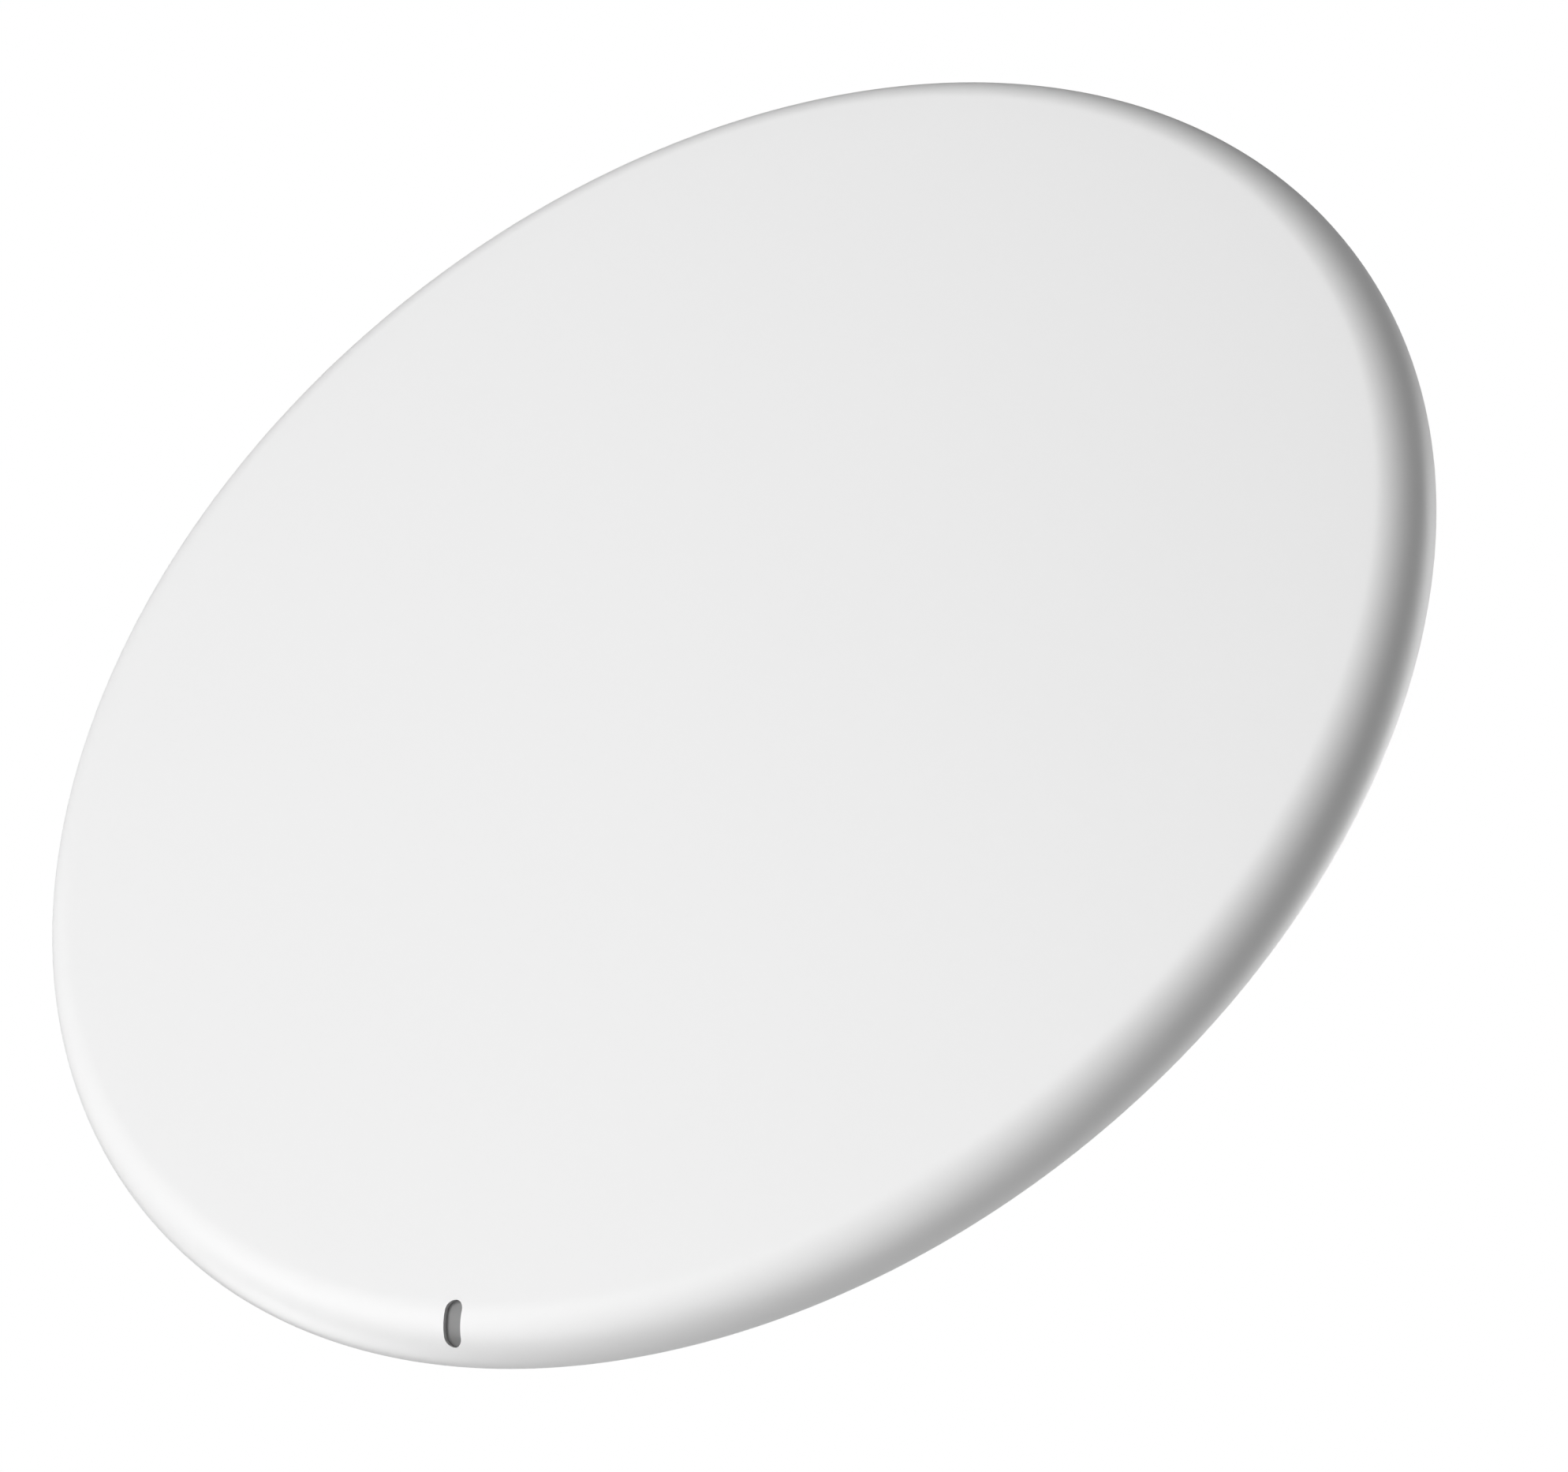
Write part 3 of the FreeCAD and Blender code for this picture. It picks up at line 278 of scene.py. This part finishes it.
# ---- front cover
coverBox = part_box("front_cover")
cover = {
    "wall": 0.0022,
    "shoulder": 0.0054,       # rounding from the face to the widest point
    "crown": 7.5,             # radius of the face's slight doming
    "land": 0.0006,           # upright wall at the widest point
    "lipRound": 0.00025,
    "steps": 384,
    "outerRows": (32, 14),    # steps round the shoulder, rings over the face
    "innerRows": (12, 4),
    "formRows": (40, 6),
    "lipSteps": 4,
    "rootDepth": 0.0002,      # bosses and ribs go this far into the wall
    "bossSides": 48,
    "bossCircle": 0.060,
    "bossRadius": 0.0034,
    "pilotRadius": 0.00165,
    "bossTop": -0.0172,
    "pilotFloor": 0.001,
    "ribCount": 24,
    "ribSize": (0.006, 0.0012),
    "ribEdge": 0.0002,
}
slot = {
    "length": 0.0053,
    "width": 0.0023,
    "sides": 64,
    "cutDepth": 0.004,        # the cutter's reach to each side of the skin
    "tilt": 28.0,             # leans up over the shoulder
    "azimuth": -90.0,
    "recess": 0.0005,         # the lens lies this far below the skin
    "play": 0.00006,
    "reach": 0.0034,
    "barInner": 0.0734,       # the bar runs from here out to the lens
    "barLow": 0.0009,         # above the inside of the face
    "barHeight": 0.0011,
    "barLap": 0.0004,         # the bar goes this far into the lens
    "barEdge": 0.0002,
    "footLength": 0.0032,     # upright foot over the lamp
    "footLift": 0.0001,
}
coverRadius = coverBox[1].x
faceZ = coverBox[0].z
shoulderX = coverRadius - cover["shoulder"]
domeZ = faceZ + cover["crown"]
shoulderZ = domeZ - math.sqrt((cover["crown"] - cover["shoulder"]) ** 2 - shoulderX ** 2)
rimZ = shoulderZ + cover["land"]
lean = math.degrees(math.asin(shoulderX / (cover["crown"] - cover["shoulder"])))


def faceRow(inset, count):  # profile points from the middle of the face out to the shoulder
    radius = cover["crown"] - inset
    angles = [math.radians(lean * k / count) for k in range(count)]
    return [(radius * math.sin(a), domeZ - radius * math.cos(a)) for a in angles]


def skinRow(inset, shoulderSteps, faceRings):  # the face and the shoulder, moved in by the inset
    return faceRow(inset, faceRings) + arcPoints(
        (shoulderX, shoulderZ), cover["shoulder"] - inset, lean - 90, 0, shoulderSteps)


def slotPlace():  # the middle of the slot, and how it is turned
    tilt, turn = math.radians(slot["tilt"]), math.radians(slot["azimuth"])
    out = shoulderX + math.cos(tilt) * slot["length"] / 2
    up = shoulderZ - cover["shoulder"] + math.sin(tilt) * slot["length"] / 2
    return (out * math.cos(turn), out * math.sin(turn), up), (0, -tilt, turn)


outer = skinRow(0.0, *cover["outerRows"])
inner = skinRow(cover["wall"], *cover["innerRows"])
lip = cover["lipRound"]
rim = arcPoints((coverRadius - lip, rimZ - lip), lip, 0, 90, cover["lipSteps"])
rim += [(coverRadius - cover["wall"], rimZ)]
coverShell = spinProfile("coverShell", outer + rim + inner[::-1], cover["steps"])
place, turn = slotPlace()
reach = slot["cutDepth"]
cutter = stadiumRod("slotCutter", slot["length"], slot["width"], -reach, reach, place, turn)
useCutter(coverShell, cutter, "DIFFERENCE")


def makeBoss(azimuth):  # screw boss with its pilot hole
    turn = math.radians(azimuth)
    floor = faceZ + cover["wall"] - cover["rootDepth"]
    x, y = cover["bossCircle"] * math.cos(turn), cover["bossCircle"] * math.sin(turn)
    deselect()
    bpy.ops.mesh.primitive_cylinder_add(
        vertices=cover["bossSides"], radius=cover["bossRadius"], depth=cover["bossTop"] - floor,
        location=(x, y, (cover["bossTop"] + floor) / 2))
    boss = settle(bpy.context.active_object)
    pick(boss, lambda at, normal: normal.z > 0.9)
    bpy.ops.mesh.inset(thickness=cover["bossRadius"] - cover["pilotRadius"])
    bpy.ops.mesh.extrude_region_move(
        TRANSFORM_OT_translate={"value": (0, 0, floor + cover["pilotFloor"] - cover["bossTop"])})
    bpy.ops.object.mode_set(mode="OBJECT")
    return boss


def makeRib(azimuth):  # upright rib in the corner behind the shoulder
    length, thick = cover["ribSize"]
    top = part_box("rear_housing")[0].z
    outside = coverRadius - cover["wall"]
    rib = block((outside - length, -thick / 2, faceZ), (outside, thick / 2, top))
    pick(rib, lambda at, along: abs(along.x) > length / 2 and at.z > top - mergeDistance, "EDGE")
    bpy.ops.mesh.bevel(offset=cover["ribEdge"], segments=3, affect="EDGES")
    bpy.ops.object.mode_set(mode="OBJECT")
    rib.rotation_euler = (0, 0, math.radians(azimuth))
    return settle(rib)


def closedForm(name, inset):  # the cover's outer form moved in and closed at the rim
    edge = [(coverRadius - inset, rimZ), (0, rimZ)]
    return spinProfile(name, skinRow(inset, *cover["formRows"]) + edge, cover["steps"])


bosses = [makeBoss(90 * k) for k in range(4)]
ribs = joined([makeRib((k + 0.5) * 360 / cover["ribCount"]) for k in range(cover["ribCount"])])
useCutter(ribs, closedForm("ribForm", cover["wall"] - cover["rootDepth"]), "INTERSECT")
coverShell = joined([coverShell, ribs] + bosses)
settle(coverShell, smoothAngle)
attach(coverShell, "unit")
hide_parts("front_cover")
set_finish(coverShell, "cover_white")
print("stage 2: front cover,", len(coverShell.data.polygons), "faces")


def makeLens():  # the lens under the slot, and the bar that brings the light to it
    width = slot["width"] - 2 * slot["play"]
    length = slot["length"] - 2 * slot["play"]
    rod = stadiumRod("lightLens", length, width, -slot["cutDepth"], slot["reach"], place, turn)
    useCutter(rod, closedForm("lensForm", slot["recess"]), "INTERSECT")
    low = faceZ + cover["wall"] + slot["barLow"]
    bar = roundedBlock((-width / 2, -shoulderX - slot["barLap"], low),
                       (width / 2, -slot["barInner"], low + slot["barHeight"]), slot["barEdge"])
    lampLow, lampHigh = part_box("status_led")
    middle = (lampLow.y + lampHigh.y) / 2
    foot = roundedBlock((-width / 2, middle - slot["footLength"] / 2, low + slot["footLift"]),
                        (width / 2, middle + slot["footLength"] / 2, lampLow.z), slot["barEdge"])
    return settle(joined([rod, bar, foot]), smoothAngle)


lightLens = makeLens()
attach(lightLens, "unit")
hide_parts("light_pipe")
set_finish(lightLens, "light_guide")
print("stage 3: light lens,", len(lightLens.data.polygons), "faces")


# ---- rear mouldings, with every edge rounded as a mould leaves it
rearRounding = {   # node: new name, body, edge radius
    "rear_housing": ("rearShell", "unit", 0.00022),
    "cable_bay": ("cableBay", "unit", 0.00018),
    "mounting_plate": ("ceilingPlate", "ceiling_plate", 0.00022),
    "detent_spring": ("leafSpring", "ceiling_plate", 0.00006),
}
rounding = {
    "sharp": 40,      # edges sharper than this are rounded
    "coplanar": 0.3,  # faces nearer than this to one plane become one
    "before": 30,     # smoothing angles before and after the rounding
    "after": 50,
}
ventZone = {"fromMiddle": 0.06, "halfWidth": 0.035, "top": -0.009}   # the vents' thin bars keep their edges


def besideVents(place):
    across = abs(place.x) > ventZone["fromMiddle"] and abs(place.y) < ventZone["halfWidth"]
    return across and place.z < ventZone["top"]


def softened(node, name, radius):  # a merged copy of a CAD node, its edges rounded
    deselect()
    nodes[node].select_set(True)
    bpy.context.view_layer.objects.active = nodes[node]
    bpy.ops.object.duplicate()
    piece = bpy.context.active_object
    piece.name = name
    bpy.ops.object.parent_clear(type="CLEAR_KEEP_TRANSFORM")
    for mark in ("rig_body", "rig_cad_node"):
        del piece[mark]
    bpy.ops.mesh.customdata_custom_splitnormals_clear()
    bpy.ops.object.mode_set(mode="EDIT")
    bpy.ops.mesh.select_all(action="SELECT")
    bpy.ops.mesh.remove_doubles(threshold=mergeDistance)
    bpy.ops.mesh.dissolve_limited(angle_limit=math.radians(rounding["coplanar"]))
    bpy.ops.mesh.select_all(action="DESELECT")
    bpy.ops.mesh.select_mode(type="EDGE")
    bpy.ops.mesh.edges_select_sharp(sharpness=math.radians(rounding["sharp"]))
    bpy.ops.object.mode_set(mode="OBJECT")
    mesh = piece.data
    weights = mesh.attributes.new("bevel_weight_edge", "FLOAT", "EDGE")
    for edge in mesh.edges:
        first, second = (mesh.vertices[i].co for i in edge.vertices)
        if edge.select and not besideVents((first + second) / 2):
            weights.data[edge.index].value = 1.0
    settle(piece, rounding["before"])
    useModifier(piece, "BEVEL", width=radius, segments=2, limit_method="WEIGHT", use_clamp_overlap=False)
    piece.data.attributes.remove(piece.data.attributes["bevel_weight_edge"])
    settle(piece, rounding["after"])
    useModifier(piece, "WEIGHTED_NORMAL", mode="FACE_AREA_WITH_ANGLE", keep_sharp=True)
    return piece


slotOf = {part["node"]: part["material_slot"] for part in frame["record"]["subparts"]}
rearPieces = []
for node, (name, body, radius) in rearRounding.items():
    piece = softened(node, name, radius)
    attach(piece, body)
    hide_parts(node)
    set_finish(piece, slotOf[node])
    rearPieces.append(piece)
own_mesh(rearPieces[-1])


# ---- materials
cloudScale = {"plastic": 18.0, "metal": 25.0, "board": 60.0}
streakScale = 900.0
metalShade = 0.95   # of the darker patches
tracking = {   # the board's copper under its lacquer
    "scale": 420.0,
    "wander": 0.55,
    "edge": (0.03, 0.06),
    "zone": (0.45, 0.5),      # where tracks start and where they are full
    "height": 0.00002,
    "lacquer": (0.25, 0.4),   # beside the tracks and over them
}


def mouldedPlastic(name, colour, rough, grain, depth, tint):
    surface = Surface(name)
    cloud = surface.noise(cloudScale["plastic"], 2.0)
    darker = tuple(c * (1 - tint) for c in colour)
    surface.set("Base Color", surface.mix(surface.spread(cloud, 0.0, 1.0), darker, colour))
    fine = surface.noise(grain, 3.0, 0.6)
    shine = surface.spread(fine, rough - 0.03, rough + 0.03)
    surface.set("Roughness", shine + surface.spread(cloud, -0.02, 0.02))
    surface.bump(fine, depth)
    return surface.material


def metalSheet(name, colour, rough, stretch, depth):  # stretch is small along the streaks
    surface = Surface(name, Metallic=1.0)
    streaks = surface.noise(streakScale, 3.0, 0.6, stretch)
    cloud = surface.noise(cloudScale["metal"], 2.0)
    darker = tuple(c * metalShade for c in colour)
    surface.set("Base Color", surface.mix(surface.spread(cloud, 0.0, 1.0), darker, colour))
    surface.set("Roughness", surface.spread(streaks, rough - 0.08, rough + 0.08))
    surface.bump(streaks, depth)
    return surface.material


def solderMask(name, colour, track, rough):  # lacquered board with copper tracks showing through
    surface = Surface(name, Coat_Roughness=0.2)
    cells = surface.node("ShaderNodeTexVoronoi", {"feature": "DISTANCE_TO_EDGE", "distance": "MANHATTAN"}, {
        "Vector": surface.place, "Scale": tracking["scale"], "Randomness": tracking["wander"]})
    tracks = surface.spread(cells, 1.0, 0.0, *tracking["edge"])
    zones = surface.spread(surface.noise(cloudScale["board"], 1.0), 0.0, 1.0, *tracking["zone"])
    lines = tracks * zones
    surface.set("Base Color", surface.mix(lines, colour, track))
    fine = surface.noise(streakScale, 2.0)
    surface.set("Roughness", surface.spread(fine, rough - 0.05, rough + 0.05))
    surface.set("Coat Weight", surface.spread(zones, *tracking["lacquer"], 0.0, 1.0))
    surface.bump(lines, tracking["height"])
    return surface.material


plastics = {   # slot: name, colour, roughness, grain's scale, grain's height, tint
    "cover_white": ("coverWhite", (0.86, 0.86, 0.86), 0.42, 2600.0, 0.000002, 0.006),
    "housing_white": ("housingWhite", (0.74, 0.74, 0.74), 0.50, 1500.0, 0.00001, 0.02),
    "plate_white": ("plateWhite", (0.68, 0.68, 0.675), 0.55, 1200.0, 0.000015, 0.03),
    "light_guide": ("lightGuide", (0.19, 0.19, 0.19), 0.35, 3000.0, 0.000004, 0.04),
    "lamp": ("lampPackage", (0.85, 0.80, 0.55), 0.35, 3000.0, 0.000004, 0.05),
    "black_moulding": ("blackMoulding", (0.018, 0.018, 0.020), 0.45, 1800.0, 0.000008, 0.2),
    "link_light": ("linkLight", (0.30, 0.55, 0.30), 0.25, 3000.0, 0.000003, 0.1),
    "chip_black": ("chipBlack", (0.025, 0.025, 0.027), 0.6, 2500.0, 0.00001, 0.2),
    "thermal_pad": ("thermalPad", (0.42, 0.50, 0.60), 0.8, 900.0, 0.00002, 0.1),
    "core_ferrite": ("coreFerrite", (0.05, 0.048, 0.047), 0.7, 1600.0, 0.00002, 0.25),
    "coax_sheath": ("coaxSheath", (0.03, 0.03, 0.032), 0.4, 2000.0, 0.000006, 0.2),
    "key_grey": ("keyGrey", (0.55, 0.56, 0.57), 0.45, 1800.0, 0.000008, 0.04),
    "label_film": ("labelFilm", (0.78, 0.78, 0.77), 0.40, 800.0, 0.000003, 0.03),
}
metals = {   # slot: name, colour, roughness, streaks' stretch, streaks' height
    "spring_steel": ("springSteel", (0.60, 0.59, 0.57), 0.30, (1.0, 0.05, 1.0), 0.000004),
    "screw_steel": ("screwSteel", (0.58, 0.58, 0.60), 0.32, (1.0, 1.0, 1.0), 0.000004),
    "plated_shield": ("platedShield", (0.72, 0.71, 0.69), 0.42, (1.0, 0.06, 1.0), 0.000001),
    "gold_contact": ("goldContact", (0.95, 0.72, 0.32), 0.22, (1.0, 0.1, 1.0), 0.000002),
    "sink_aluminium": ("sinkAluminium", (0.78, 0.78, 0.79), 0.38, (1.0, 0.05, 1.0), 0.000005),
    "can_aluminium": ("canAluminium", (0.75, 0.75, 0.77), 0.30, (1.0, 1.0, 0.05), 0.000003),
    "antenna_sheet": ("antennaSheet", (0.74, 0.73, 0.70), 0.30, (1.0, 0.06, 1.0), 0.000003),
}
finishes = {slotName: mouldedPlastic(*row) for slotName, row in plastics.items()}
finishes.update({slotName: metalSheet(*row) for slotName, row in metals.items()})
finishes["board_green"] = solderMask("boardGreen", (0.02, 0.16, 0.07), (0.05, 0.27, 0.11), 0.35)
for name, part in nodes.items():
    for holder in part.material_slots:
        holder.material = finishes[slotOf[name]]
for piece in [coverShell, lightLens] + rearPieces:
    piece.data.materials.clear()
    piece.data.materials.append(finishes[piece["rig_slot"]])
print("stage 5: materials,", len(finishes), "finishes")


# ---- camera, light, floor
shot = {
    "aim": (-0.00768, -0.00296, -0.01764),
    "azimuth": -47.79,
    "elevation": -44.334,
    "roll": 141.498,
    "distance": 0.5777,
    "lens": 110.0,
    "sensor": 36.0,
    "sees": (0.01, 50.0),   # from and to
}


def facing(azimuth, elevation):  # unit vector from the object towards that side
    a, e = math.radians(azimuth), math.radians(elevation)
    return Vector((math.cos(e) * math.sin(a), -math.cos(e) * math.cos(a), math.sin(e)))


scene = bpy.context.scene
back = facing(shot["azimuth"], shot["elevation"])   # the camera's own three directions
level = Vector((0, 0, 1)).cross(back).normalized()
roll = math.radians(shot["roll"])
right = level * math.cos(roll) + back.cross(level) * math.sin(roll)
upward = back.cross(right)
deselect()
bpy.ops.object.camera_add(location=Vector(shot["aim"]) + back * shot["distance"])
camera = bpy.context.active_object
camera.rotation_euler = Matrix((right, upward, back)).transposed().to_euler()
camera.data.lens = shot["lens"]
camera.data.sensor_width = shot["sensor"]
camera.data.clip_start, camera.data.clip_end = shot["sees"]
scene.camera = camera

floorValues = {
    "size": 60.0,
    "z": -1.6,
    "colour": (0.30, 0.30, 0.30),
    "glow": (0.60, 0.60, 0.605),
    "patchScale": 0.7,
    "patchGlow": 0.08,
    "fadeFrom": 2.2,   # where the floor starts to brighten towards the white of the room
    "fadeTo": 11.5,
}
deselect()
bpy.ops.mesh.primitive_plane_add(size=floorValues["size"], location=(0, 0, floorValues["z"]))
floor = bpy.context.active_object
floor.name = "floor"
settle(floor)
paint = Surface("floorPaint", Roughness=0.9, Emission_Strength=1.0)
patches = paint.spread(paint.noise(floorValues["patchScale"], 2.0), 0.0, floorValues["patchGlow"])
far = paint.node("ShaderNodeVectorMath", {"operation": "LENGTH"}, {0: paint.place}, output=1)
fade = paint.node("ShaderNodeMapRange", {"interpolation_type": "SMOOTHSTEP"}, {
    "Value": far, "From Min": floorValues["fadeFrom"], "From Max": floorValues["fadeTo"]})
paint.set("Base Color", floorValues["colour"])
bright = paint.maths("MAXIMUM", fade, patches)
paint.set("Emission Color", paint.mix(bright, floorValues["glow"], (1.0, 1.0, 1.0)))
floor.data.materials.append(paint.material)
floor.visible_diffuse = floor.visible_glossy = False  # only a backdrop, it throws no light on the object

lampDistance = 1.25
lamps = {   # azimuth, elevation, size, power
    "frontBelow": (-3.9, -55.9, 0.62, 2.57),
    "frontLevel": (-16.2, -28.3, 0.62, 2.10),
    "leftFront": (29.0, -31.3, 0.62, 3.34),
    "leftSide": (59.2, -37.7, 0.62, 3.17),
    "leftBelow": (64.1, -63.0, 0.62, 3.46),
    "farBelow": (178.7, -70.9, 0.62, 1.37),
    "farLeft": (119.2, -60.2, 0.62, 3.24),
    "farSide": (143.6, -43.0, 0.62, 2.02),
    "rimLeft": (53.8, 19.7, 0.62, 3.93),
    "rimRight": (-78.5, 43.6, 0.62, 2.44),
    "rimFront": (-35.6, 47.0, 0.62, 1.30),
    "behindRight": (-113.5, 52.6, 0.62, 6.22),
    "behindLevel": (-138.8, 31.8, 0.62, 3.85),
    "overhead": (0.0, 90.0, 1.4, 6.0),
}
middle = Vector((0, 0, (cadBox[0][2] + cadBox[1][2]) / 2))
for name, (azimuth, elevation, size, power) in lamps.items():
    deselect()
    toward = facing(azimuth, elevation)
    bpy.ops.object.light_add(type="AREA", location=middle + toward * lampDistance)
    lamp = bpy.context.active_object
    lamp.name = name + "Lamp"
    lamp.rotation_euler = toward.to_track_quat("Z", "Y").to_euler()
    lamp.data.size = size
    lamp.data.energy = power
    lamp.visible_camera = False

room = {"seen": 1.0, "felt": 0.02}   # white behind the object, and the little light it gives
world = bpy.data.worlds.new("studio")
scene.world = world
world.use_nodes = True
air = world.node_tree
seen = air.nodes["Background"]
seen.inputs["Color"].default_value = (1, 1, 1, 1)
seen.inputs["Strength"].default_value = room["seen"]
felt = air.nodes.new("ShaderNodeBackground")
felt.inputs["Color"].default_value = (1, 1, 1, 1)
felt.inputs["Strength"].default_value = room["felt"]
rays = air.nodes.new("ShaderNodeLightPath")
choice = air.nodes.new("ShaderNodeMixShader")
air.links.new(rays.outputs["Is Camera Ray"], choice.inputs[0])
air.links.new(felt.outputs[0], choice.inputs[1])
air.links.new(seen.outputs[0], choice.inputs[2])
air.links.new(choice.outputs[0], air.nodes["World Output"].inputs[0])
scene.view_settings.view_transform = "Standard"
print("stage 6: camera, floor and", len(lamps), "lamps")
